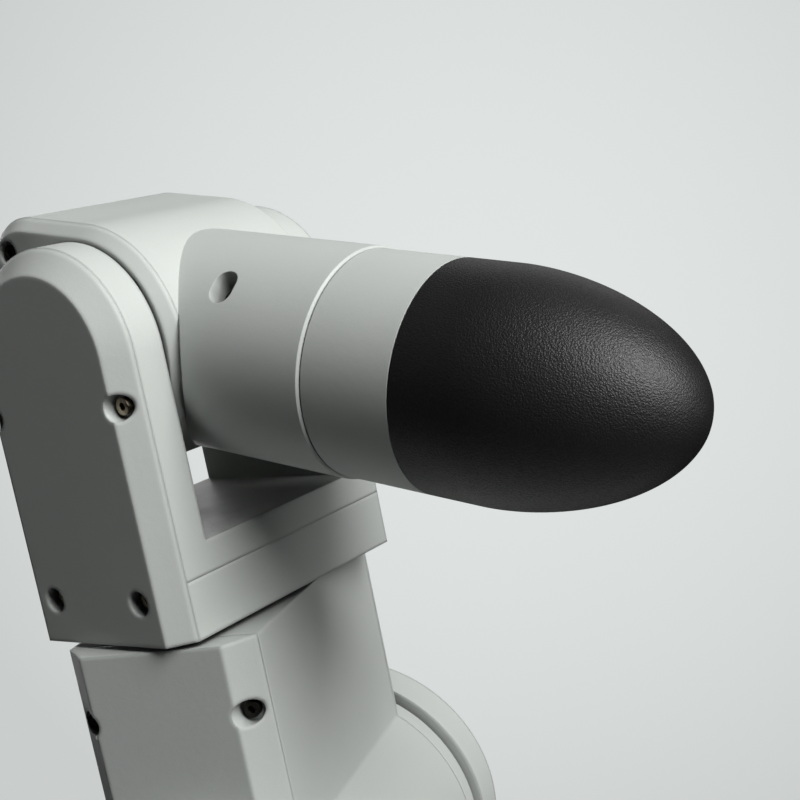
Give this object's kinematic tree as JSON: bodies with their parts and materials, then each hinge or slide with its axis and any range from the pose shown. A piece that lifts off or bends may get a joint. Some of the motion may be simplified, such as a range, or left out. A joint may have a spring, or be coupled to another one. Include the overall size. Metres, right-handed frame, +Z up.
{
  "type": "collaborative robot arm",
  "caption": "Six-axis desktop collaborative robot arm with fork joints, screwed side covers and an egg-shaped tool in a black elastomer skin.",
  "frame": {"origin": "centre of the foot's underside, on the J1 axis", "axes": "+Z up along the J1 axis; the links lie in the XZ plane, and the tool points to +X at rest, turned a little to -Y"},
  "size_m": [0.3052, 0.2, 0.6738],
  "materials": {
    "casing_paint": "satin light grey paint over cast aluminium",
    "grained_elastomer": "fine leather grain, satin",
    "core_plastic": "moulded",
    "screw_steel": "bronzed steel",
    "motor_aluminium": "machined",
    "bearing_steel": "ground steel",
    "machined_aluminium": "machined",
    "seal_rubber": "matt black",
    "socket_plastic": "moulded black",
    "panel_metal": "dark anodised"
  },
  "bodies": {
    "base": {"base_plate": "casing_paint", "base_housing": "casing_paint", "connector_panel": "panel_metal", "power_socket": "socket_plastic", "signal_sockets": "socket_plastic", "base_screws": "screw_steel", "j1_motor": "motor_aluminium", "j1_gear_ring": "bearing_steel", "j1_bearing": "bearing_steel", "j1_seal": "seal_rubber"},
    "turret": {"turret_base": "casing_paint", "turret_yoke": "casing_paint", "turret_cover_right": "casing_paint", "turret_cover_left": "casing_paint", "turret_screws": "screw_steel", "j1_output_hub": "machined_aluminium", "j2_hubs": "machined_aluminium"},
    "upper_arm": {"upper_arm_housing": "casing_paint", "upper_arm_yoke": "casing_paint", "upper_arm_cover_right": "casing_paint", "upper_arm_cover_left": "casing_paint", "upper_arm_screws": "screw_steel", "j2_motor": "motor_aluminium", "j2_gear_ring": "bearing_steel", "j2_bearings": "bearing_steel", "j3_hubs": "machined_aluminium"},
    "forearm": {"forearm_housing": "casing_paint", "forearm_cover_right": "casing_paint", "forearm_cover_left": "casing_paint", "forearm_screws": "screw_steel", "j3_motor": "motor_aluminium", "j3_gear_ring": "bearing_steel", "j3_bearings": "bearing_steel", "j4_bearing": "bearing_steel", "j4_gear_ring": "bearing_steel", "j4_motor": "motor_aluminium", "j4_seal": "seal_rubber"},
    "wrist_fork": {"fork_base": "casing_paint", "fork_yoke": "casing_paint", "fork_cover_right": "casing_paint", "fork_cover_left": "casing_paint", "fork_screws": "screw_steel", "j4_output_hub": "machined_aluminium", "j5_hubs": "machined_aluminium"},
    "wrist_body": {"wrist_housing": "casing_paint", "wrist_plate_right": "casing_paint", "wrist_plate_left": "casing_paint", "wrist_screws": "screw_steel", "j5_motor": "motor_aluminium", "j5_gear_ring": "bearing_steel", "j5_bearings": "bearing_steel", "j6_motor": "motor_aluminium", "j6_gear_ring": "bearing_steel", "j6_bearing": "bearing_steel"},
    "tool": {"tool_collar": "casing_paint", "tool_flange": "machined_aluminium", "egg_core": "core_plastic", "egg_cover": "grained_elastomer", "tool_screws": "screw_steel"}
  },
  "joints": [
    {"name": "j1_turret", "type": "hinge", "parent": "base", "child": "turret", "pos_m": [0, 0, 0.0915], "axis": [0, 0, 1], "range_deg": [-175, 175]},
    {"name": "j2_shoulder", "type": "hinge", "parent": "turret", "child": "upper_arm", "pos_m": [0, 0, 0.194], "axis": [0, 1, 0], "range_deg": [-90, 60]},
    {"name": "j3_elbow", "type": "hinge", "parent": "upper_arm", "child": "forearm", "pos_m": [0.0647, 0, 0.43548], "axis": [0, 1, 0], "range_deg": [-78, 131]},
    {"name": "j4_forearm_roll", "type": "hinge", "parent": "forearm", "child": "wrist_fork", "pos_m": [0.02439, 0, 0.63189], "axis": [-0.2011, 0, 0.9796], "range_deg": [-156, 194]},
    {"name": "j5_wrist_pitch", "type": "hinge", "parent": "wrist_fork", "child": "wrist_body", "pos_m": [0.02439, 0, 0.63189], "axis": [0.3157, 0.9466, 0.0648], "range_deg": [-215, 15]},
    {"name": "j6_tool_turn", "type": "hinge", "parent": "wrist_body", "child": "tool", "pos_m": [0.02439, 0, 0.63189], "axis": [0.9489, -0.3151, -0.0192], "range_deg": [-175, 175]}
  ]
}
